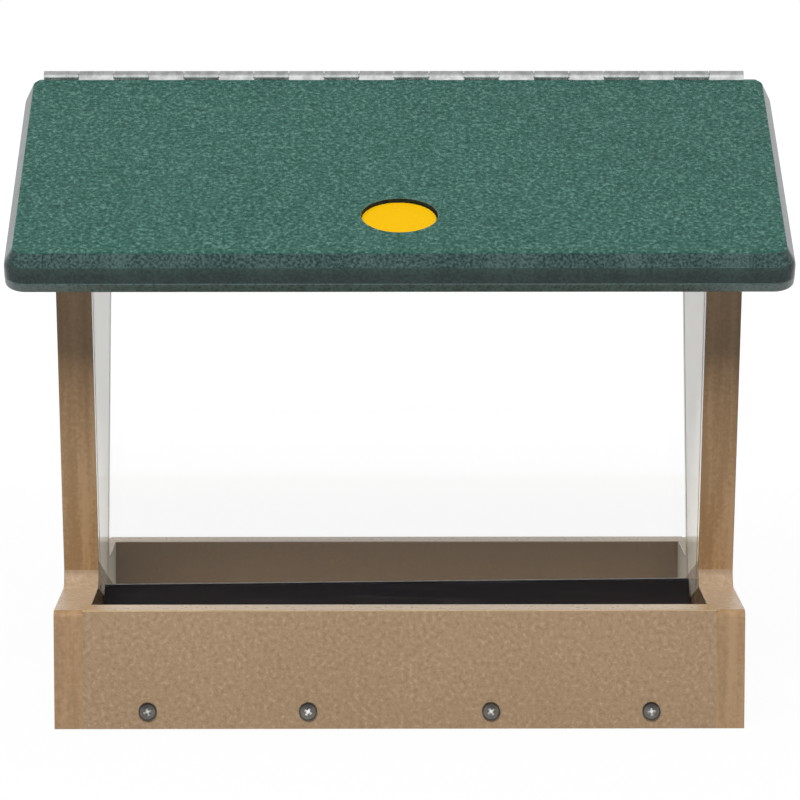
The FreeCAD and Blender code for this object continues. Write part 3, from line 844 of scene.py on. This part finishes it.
class FEEDER_OT_end_panels(bpy.types.Operator):
    """Make the two taupe end panels"""
    bl_idname = "feeder.end_panels"
    bl_label = "End panels"

    def execute(self, context):
        boards = context.scene.feeder_boards
        finishes = panel_finishes(boards)
        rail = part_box("front_rail")[1]
        housing_end = rail.x + 0.0002
        housing_start = abs(rail.y) - 0.001
        under_roof = 0.03
        panels = (("end_panel_left", "left_end_board", -1), ("end_panel_right", "right_end_board", 1))
        for node, name, side in panels:
            shape = whole_faces(node)
            mark_faces(shape, ACROSS)
            self.mark_dust(shape, side, rail.z)
            self.mark_shoulders(shape, rail)
            seats = end_seats(side)
            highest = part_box(node)[1].z - under_roof
            chosen = []
            for edge, at in corner_edges(shape, SHARP):
                in_housing = abs(at.x) < housing_end and abs(at.y) > housing_start
                covered = in_housing or near_screw(at, seats, ACROSS)
                if GROUND_REACH < at.z < highest and not covered:
                    chosen.append(edge)
            break_edges(shape, chosen, boards.body_break, EDGE)
            settle(close_board(shape, name, finishes), BODY, "taupe_board", node)
        return {"FINISHED"}

    def mark_dust(self, shape, side, tray_top):
        """Cuts the inner face along both rims of a slanting band, and marks where dust is thin or missing."""
        start = Vector((0, -0.0445, tray_top))
        way = Vector((0, 0.26, 1)).normalized()
        band = 0.012
        for rise in (0.0, band):
            inner = [part for part in shape.faces if part.normal.x * side < -STRAIGHT_ON]
            rims = [edge for edge in shape.edges if any(part in inner for part in edge.link_faces)]
            bmesh.ops.bisect_plane(shape, geom=inner + rims, dist=1e-6, plane_co=start + rise * way,
                                   plane_no=way)
        for part in shape.faces:
            if part.material_index == FACE:
                dust = (part.calc_center_median() - start).dot(way)
                if part.normal.x * side > 0 or dust < 0:
                    part.material_index = CLEAN
                elif dust < band:
                    part.material_index = THIN_DUST

    def mark_shoulders(self, shape, rail):
        """Marks the flats of the shoulders, the coves above them and the neck's front and back edges, whose
        finishes paint light on the flats and the neck's edges and shade in the coves.
        """
        lowest = rail.z - 0.005
        highest = rail.z + 0.012
        level = 0.97
        cove_tilt = -0.15
        upright = 0.9
        for part in shape.faces:
            if part.material_index == EDGE:
                middle = part.calc_center_median()
                at_shoulder = lowest < middle.z < highest
                above_tray = abs(middle.y) < abs(rail.y) and middle.z > rail.z
                if at_shoulder and part.normal.z > level:
                    part.material_index = CORNER
                elif above_tray and at_shoulder and part.normal.z > cove_tilt:
                    part.material_index = COVE
                elif above_tray and abs(part.normal.y) > upright:
                    part.material_index = NECK


class FEEDER_OT_tray(bpy.types.Operator):
    """Make the two rails and the floor of the tray"""
    bl_idname = "feeder.tray"
    bl_label = "Tray"

    def execute(self, context):
        boards = context.scene.feeder_boards
        face = taupe_face(boards, "Taupe board face", boards.taupe_relief, roughness=0.28, index=1.5)
        # Lighter rail edge tones: painted sheen of the rails' upward edges
        edge = machined_edge("Taupe rail edge with painted sheen", boards.rail_top, boards.rail_top_streak,
                             stretch=(30.0, 300.0, 300.0), grain=420.0, grain_share=0.35, depth=0.00001,
                             roughness=0.30, index=1.48)
        housed = 0.001
        for node, name, side in (("front_rail", "front_rail_board", -1), ("back_rail", "back_rail_board", 1)):
            seats = rail_seats(side)
            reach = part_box(node)[1].x - housed
            shape = whole_faces(node)
            mark_faces(shape, THROUGH)
            chosen = []
            for corner, at in corner_edges(shape, SHARP):
                if abs(at.x) < reach and at.z > GROUND_REACH and not near_screw(at, seats, THROUGH):
                    chosen.append(corner)
            break_edges(shape, chosen, boards.body_break)
            settle(close_board(shape, name, [face, edge, edge]), BODY, "taupe_board", node)
        shape = whole_faces("floor_board")
        mark_faces(shape, UPWARD)
        settle(close_board(shape, "tray_floor", [face, edge]), BODY, "taupe_board", "floor_board")
        return {"FINISHED"}


class FEEDER_OT_roof_boards(bpy.types.Operator):
    """Make the green lid and the fixed roof board"""
    bl_idname = "feeder.roof_boards"
    bl_label = "Roof boards"

    def execute(self, context):
        boards = context.scene.feeder_boards
        finishes = roof_finishes(boards)
        rows = (("roof_lid", "roof_lid_board", LID, FRONT_SLOPE, -1),
                ("roof_panel_back", "roof_back_board", BODY, BACK_SLOPE, 1))
        for node, name, body, slope, side in rows:
            low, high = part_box(node)
            ridge = Vector((0, low.y if side > 0 else high.y, high.z))
            down = Vector((0, side * math.cos(ROOF_PITCH), -math.sin(ROOF_PITCH)))
            eave = max((vertex.co - ridge).dot(down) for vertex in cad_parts[node].data.vertices)
            shape = whole_faces(node)
            mark_faces(shape, slope)
            for part in shape.faces:
                if part.material_index == EDGE:
                    part.material_index = self.edge_slot(part, ridge, down, slope)
            outer_x = high.x - 0.0080
            outer_down = eave - 0.0065
            ridge_reach = 0.0004

            # Depth below the roof face, from and to, then rounding, slot and segments
            creases = (
                (0.0040, 0.0105, boards.eave_break, SQUARE, 4),
                # The lower crease takes the lighter lip finish: a painted highlight line
                (0.0105, 0.0160, boards.lower_break, CORNER, 2),
                (0.0160, 0.0250, boards.under_break, EDGE, 2),
                (-0.0010, 0.0040, boards.upper_break, FACE, 2))
            for top, bottom, reach, slot, segments in creases:
                chosen = []
                for edge, at in corner_edges(shape, CREASE):
                    outer = abs(at.x) > outer_x or (at - ridge).dot(down) > outer_down
                    off_ridge = side * (at.y - ridge.y) > ridge_reach
                    if outer and off_ridge and top < (ridge - at).dot(slope) < bottom:
                        chosen.append(edge)
                break_edges(shape, chosen, reach, slot, segments)
            upper_half = 0.5
            for part in shape.faces:
                if part.material_index == SQUARE and part.normal.dot(slope) > upper_half:
                    part.material_index = EDGE
            rim = []
            face_depth = 0.0001
            for edge, at in corner_edges(shape, RIM):
                if self.in_pocket(at, ridge, down) and (ridge - at).dot(slope) < face_depth:
                    rim.append(edge)
            # The pocket's rim takes the lighter lip finish: a painted highlight line
            break_edges(shape, rim, boards.pocket_break)
            settle(close_board(shape, name, finishes), body, "green_board", node)
        return {"FINISHED"}

    def in_pocket(self, point, ridge, down):
        """True for a point on the wall or the rim of the badge's pocket."""
        half_width = 0.02
        nearest = 0.1
        farthest = 0.14
        return abs(point.x) < half_width and nearest < (point - ridge).dot(down) < farthest

    def edge_slot(self, part, ridge, down, slope):
        """Slot of a machined face, by its place and by the way it looks."""
        facing = part.normal.dot(slope)
        square_on = 0.1
        if self.in_pocket(part.calc_center_median(), ridge, down):
            return POCKET
        if abs(facing) < square_on:
            return SQUARE
        # Downward bevels take the lip finish, lighter with painted bounce light
        return CORNER if facing < 0 else EDGE


class FEEDER_OT_ridge_hinge(bpy.types.Operator):
    """Make the two leaves of the ridge hinge and finish its pin"""
    bl_idname = "feeder.ridge_hinge"
    bl_label = "Ridge hinge"

    def execute(self, context):
        hinge = context.scene.feeder_hinge
        screws = context.scene.feeder_screws
        low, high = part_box("hinge_pin")
        long = high.x - low.x
        pitch = long / hinge.knuckles
        screw_row = (hinge.screw_count - 1) * hinge.screw_pitch
        metal = satin_metal("Hinge metal", hinge.metal, stretch=(40.0, 900.0, 900.0), roughness=0.34)
        common = {
            "Length": long, "Knuckle Length": pitch - hinge.gap, "Knuckle Step": 2 * pitch,
            "Barrel Radius": hinge.barrel_radius, "Bore Radius": hinge.bore_radius,
            "Leaf Thickness": hinge.leaf_thickness, "Strip Depth": hinge.leaf_top,
            "Leaf Depth": hinge.leaf_depth, "Screw Start": (long - screw_row) / 2,
            "Screw Pitch": hinge.screw_pitch, "Screw Drop": hinge.screw_drop,
            "Sink Radius": screws.hinge_head_radius + hinge.sink_clearance,
            "Sink Depth": screws.hinge_flat_depth, "Start": low.x, "Axis Height": (low.z + high.z) / 2,
            "Knuckle Count": hinge.knuckles // 2, "Screw Count": hinge.screw_count, "Metal": metal}
        tree = hinge_leaf_tree()
        rows = (("hinge_leaf_fixed", "hinge_leaf_back", BODY, 1.0, 0),
                ("hinge_leaf_lid", "hinge_leaf_front", LID, -1.0, 1))
        for node, name, body, side, first in rows:
            values = {**common, "Side": side, "First Knuckle": (first + 0.5) * pitch}
            leaf = grow(name, bpy.data.meshes.new(name), tree, values)
            ends = leaf.modifiers.new("Rounded ends", "BEVEL")
            ends.width = hinge.end_round
            ends.segments = 2
            ends.limit_method = "ANGLE"
            ends.angle_limit = math.radians(50)
            bake(leaf)
            settle(smooth_piece(leaf), body, "hinge_metal", node)
        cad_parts["hinge_pin"].data.materials[0] = metal
        return {"FINISHED"}


class FEEDER_OT_clear_panes(bpy.types.Operator):
    """Make the two clear panes"""
    bl_idname = "feeder.clear_panes"
    bl_label = "Clear panes"

    def execute(self, context):
        trim = context.scene.feeder_trim
        finish = pane_finish(trim.pane_tint)
        for node, name in (("pane_front", "front_pane_sheet"), ("pane_back", "back_pane_sheet")):
            shape = whole_faces(node)
            break_edges(shape, shape.edges[:], trim.pane_break, FACE, 1)
            settle(close_board(shape, name, [finish]), BODY, "clear_pane", node)
        return {"FINISHED"}


class FEEDER_OT_seed_diverter(bpy.types.Operator):
    """Make the bent black sheet that lies in the tray"""
    bl_idname = "feeder.seed_diverter"
    bl_label = "Seed diverter"

    def execute(self, context):
        black = context.scene.feeder_trim.sheet_black
        finishes = [sheet_finish("Black sheet", black, roughness=0.47, index=1.5),
                    sheet_finish("Black sheet bend", black, roughness=0.13, index=1.7)]
        bend_rise = 0.74
        shape = whole_faces("seed_diverter")
        for part in shape.faces:
            part.material_index = EDGE if part.normal.z > bend_rise else FACE
        settle(close_board(shape, "seed_diverter_sheet", finishes), BODY, "black_sheet", "seed_diverter")
        return {"FINISHED"}


class FEEDER_OT_badge(bpy.types.Operator):
    """Make the plain yellow oval in the pocket of the lid"""
    bl_idname = "feeder.badge"
    bl_label = "Badge"

    def execute(self, context):
        trim = context.scene.feeder_trim
        low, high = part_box("badge")
        half = trim.badge_thickness / 2
        soft = trim.badge_round
        rings = [(0.0, -half), (0.0, half - soft)]
        for step in (1, 2, 3):
            turn = step * math.pi / 6
            rings.append((soft * (1 - math.cos(turn)), half - soft + soft * math.sin(turn)))
        turns = [2 * math.pi * index / BADGE_SIDES for index in range(BADGE_SIDES)]
        shape = bmesh.new()
        loops = []
        for inset, level in rings:
            wide = trim.badge_width / 2 - inset
            deep = trim.badge_depth / 2 - inset
            loops.append([shape.verts.new((wide * math.cos(t), deep * math.sin(t), level)) for t in turns])
        for lower, upper in zip(loops, loops[1:]):
            for index in range(BADGE_SIDES):
                after = (index + 1) % BADGE_SIDES
                shape.faces.new((lower[index], lower[after], upper[after], upper[index]))
        shape.faces.new(list(reversed(loops[0])))
        shape.faces.new(loops[-1])
        middle = (low + high) / 2 - Vector((trim.badge_shift, 0, 0))
        place = Matrix.Translation(middle) @ Matrix.Rotation(ROOF_PITCH, 4, "X")
        bmesh.ops.transform(shape, matrix=place, verts=shape.verts[:])
        finish = badge_finish(trim.badge_yellow)
        settle(close_board(shape, "badge_oval", [finish]), LID, "yellow_badge", "badge")
        return {"FINISHED"}


class FEEDER_OT_screws(bpy.types.Operator):
    """Make all the screws"""
    bl_idname = "feeder.screws"
    bl_label = "Screws"

    def execute(self, context):
        screws = context.scene.feeder_screws
        brushed = (700.0, 700.0, 700.0)
        common = {
            "Head Radius": screws.head_radius, "Shank Radius": screws.shank_radius,
            "Tip Length": screws.tip_length, "Recess Reach": screws.recess_reach,
            "Recess Width": screws.recess_width, "Recess Depth": screws.recess_depth,
            "Head Material": satin_metal("Screw steel", screws.steel, brushed, roughness=0.36),
            "Rim Material": satin_metal("Rim steel", screws.rim_steel, brushed, roughness=0.42),
            # Near-white recess: partly driver wear, partly a painted glint
            "Recess Material": satin_metal("Worn recess steel with painted glint", screws.worn_and_glint_steel, brushed, roughness=0.24)}
        pan = {**common, "Head Depth": screws.rim_height, "Dome Rise": screws.dome_rise,
               "Shank Length": screws.body_length}
        end = {**common, "Head Depth": screws.flat_depth, "Shank Length": screws.body_length}
        roof = {**end, "Shank Length": screws.roof_length}
        small = {
            **common, "Head Radius": screws.hinge_head_radius, "Head Depth": screws.hinge_flat_depth,
            "Shank Radius": screws.hinge_shank_radius, "Shank Length": screws.hinge_length,
            "Tip Length": screws.hinge_tip_length,
            "Recess Reach": screws.hinge_recess * screws.recess_reach,
            "Recess Width": screws.hinge_recess * screws.recess_width,
            "Recess Depth": screws.hinge_recess * screws.recess_depth}
        pan_tree = screw_tree("Pan screw", pan_head)
        flat_tree = screw_tree("Flat screw", flat_head)
        turns = (0.30, 1.05, 0.62, 0.12, 0.86)
        rows = (
            ("front_rail_screws", "front_rail_pan_screws", BODY, rail_seats(-1), (0, -1, 0), pan_tree, pan),
            ("back_rail_screws", "back_rail_pan_screws", BODY, rail_seats(1), (0, 1, 0), pan_tree, pan),
            ("end_screws_left", "left_end_flat_screws", BODY, end_seats(-1), (-1, 0, 0), flat_tree, end),
            ("end_screws_right", "right_end_flat_screws", BODY, end_seats(1), (1, 0, 0), flat_tree, end),
            ("roof_screws", "roof_flat_screws", BODY, roof_seats(), BACK_SLOPE, flat_tree, roof),
            ("hinge_screws_fixed", "hinge_back_screws", BODY, hinge_seats(1), (0, -1, 0), flat_tree, small),
            ("hinge_screws_lid", "hinge_front_screws", LID, hinge_seats(-1), (0, 1, 0), flat_tree, small))
        for node, name, body, seats, facing, tree, values in rows:
            piece = grow(name, seat_mesh(name, seats, facing, turns), tree, values)
            settle(smooth_piece(piece), body, "screw_steel", node)
        return {"FINISHED"}


class FEEDER_OT_studio(bpy.types.Operator):
    """Set up the white room, the soft light and the camera"""
    bl_idname = "feeder.studio"
    bl_label = "Studio"

    def execute(self, context):
        scene = context.scene
        studio = scene.feeder_studio
        scene.view_settings.view_transform = "Standard"
        self.make_room(scene, studio)
        self.make_floor()
        self.make_light("Front soft box", studio.front_light, (1.2, 0.85), Vector((-0.22, -1.54, 1.40)))
        self.make_light("Left soft box", studio.left_light, (0.9, 0.9), Vector((-1.06, -0.1, 1.84)))
        self.make_light("Right soft box", studio.right_light, (0.9, 0.9), Vector((1.06, -0.1, 1.84)))
        self.make_light("Back soft box", studio.back_light, (1.2, 0.9), Vector((0.0, 1.53, 1.43)))
        lens = bpy.data.cameras.new("Camera")
        lens.lens = studio.lens
        lens.sensor_width = 36.0
        lens.clip_start = 0.05
        lens.clip_end = 60.0
        camera = bpy.data.objects.new("Camera", lens)
        camera.location = studio.camera_place
        camera.rotation_euler = (math.pi / 2 - studio.camera_tilt, 0, -studio.camera_turn)
        scene.collection.objects.link(camera)
        scene.camera = camera
        return {"FINISHED"}

    def seen_or_mirrored(self, tree):
        """1 for a ray from the camera, or one that a mirror or glass sends on."""
        path = add_node(tree, "ShaderNodeLightPath").node.outputs
        seen = figure(tree, "MAXIMUM", path["Is Camera Ray"], path["Is Glossy Ray"])
        return figure(tree, "MAXIMUM", seen, path["Is Transmission Ray"])

    def make_room(self, scene, studio):
        """White all round for the camera, glass and mirrors, with a dimmer ceiling in the mirrors."""
        world = bpy.data.worlds.new("White room")
        scene.world = world
        world.use_nodes = True
        tree = world.node_tree
        tree.nodes.clear()
        way = add_node(tree, "ShaderNodeTexCoord", output="Generated")
        rise = add_node(tree, "ShaderNodeSeparateXYZ", {"Vector": way}, output="Z")
        dim = spread(tree, rise, low=0.12, high=0.60, to_low=1.0, to_high=studio.ceiling)
        even = add_node(tree, "ShaderNodeBackground", {"Color": (1, 1, 1, 1), "Strength": studio.surround})
        white = add_node(tree, "ShaderNodeBackground", {"Color": (1, 1, 1, 1), "Strength": dim})
        mixed = mix_shaders(tree, self.seen_or_mirrored(tree), even, white)
        add_node(tree, "ShaderNodeOutputWorld", {"Surface": mixed})
        world.cycles.sampling_method = "NONE"

    def make_floor(self):
        """Grey paper that keeps the shadow, and shows mostly white to the camera, glass and mirrors."""
        half_width = 6.0
        drop = 0.0004
        white_share = 0.90
        shape = bmesh.new()
        bmesh.ops.create_grid(shape, x_segments=1, y_segments=1, size=half_width)
        bmesh.ops.translate(shape, vec=(0, 0, -drop), verts=shape.verts[:])
        mesh = bpy.data.meshes.new("Studio floor")
        shape.to_mesh(mesh)
        shape.free()
        material, tree, place = new_material("White floor")
        grain = spread(tree, noise(tree, place, 900.0), 0.3, 0.7)
        paper = blend_colours(tree, grain, (0.32, 0.32, 0.32, 1), (0.35, 0.35, 0.35, 1))
        matte = add_node(tree, "ShaderNodeBsdfDiffuse", {"Color": paper})
        away = add_node(tree, "ShaderNodeVectorMath", {"Vector": place}, {"operation": "LENGTH"}, "Value")
        bright = spread(tree, away, low=0.5, high=1.5, to_low=1.06, to_high=1.17)
        white = add_node(tree, "ShaderNodeEmission", {"Color": (1, 1, 1, 1), "Strength": bright})
        share = times(tree, self.seen_or_mirrored(tree), white_share)
        add_node(tree, "ShaderNodeOutputMaterial", {"Surface": mix_shaders(tree, share, matte, white)})
        mesh.materials.append(material)
        new_piece("Studio_floor", mesh)

    def make_light(self, name, power, size, place):
        """Soft box aimed at the middle of the feeder, unseen by the camera, glass and mirrors."""
        aim = Vector((0, 0, 0.14))
        lamp = bpy.data.lights.new(name, "AREA")
        lamp.shape = "RECTANGLE"
        lamp.size, lamp.size_y = size
        lamp.energy = power
        box = bpy.data.objects.new(name, lamp)
        box.location = place
        box.rotation_euler = (aim - place).to_track_quat("-Z", "Y").to_euler()
        box.visible_camera = False
        box.visible_glossy = False
        box.visible_transmission = False
        bpy.context.scene.collection.objects.link(box)


class FEEDER_PT_pieces(bpy.types.Panel):
    """Pieces of the bird feeder and their settings"""
    bl_idname = "FEEDER_PT_pieces"
    bl_label = "Bird Feeder"
    bl_space_type = "VIEW_3D"
    bl_region_type = "UI"
    bl_category = "Bird Feeder"

    def draw(self, context):
        layout = self.layout
        for operator in OPERATORS:
            layout.operator(operator.bl_idname)
        for label, settings in SETTINGS.items():
            group = getattr(context.scene, label)
            section = layout.box()
            section.label(text=settings.__doc__)
            for name in settings.__annotations__:
                section.prop(group, name)


SETTINGS = {
    "feeder_boards": BoardSettings,
    "feeder_hinge": HingeSettings,
    "feeder_screws": ScrewSettings,
    "feeder_trim": TrimSettings,
    "feeder_studio": StudioSettings,
}
OPERATORS = (
    FEEDER_OT_end_panels,
    FEEDER_OT_tray,
    FEEDER_OT_roof_boards,
    FEEDER_OT_ridge_hinge,
    FEEDER_OT_clear_panes,
    FEEDER_OT_seed_diverter,
    FEEDER_OT_badge,
    FEEDER_OT_screws,
    FEEDER_OT_studio,
)


def register():
    for kind in (*SETTINGS.values(), *OPERATORS, FEEDER_PT_pieces):
        bpy.utils.register_class(kind)
    for label, settings in SETTINGS.items():
        setattr(bpy.types.Scene, label, PointerProperty(type=settings))


def unregister():
    for label in SETTINGS:
        delattr(bpy.types.Scene, label)
    for kind in (FEEDER_PT_pieces, *reversed(OPERATORS), *reversed(list(SETTINGS.values()))):
        bpy.utils.unregister_class(kind)


def main():
    register()
    bpy.ops.feeder.end_panels()
    bpy.ops.feeder.tray()
    bpy.ops.feeder.roof_boards()
    bpy.ops.feeder.ridge_hinge()
    bpy.ops.feeder.clear_panes()
    bpy.ops.feeder.seed_diverter()
    bpy.ops.feeder.badge()
    bpy.ops.feeder.screws()
    bpy.ops.feeder.studio()


if __name__ == "__main__":
    main()
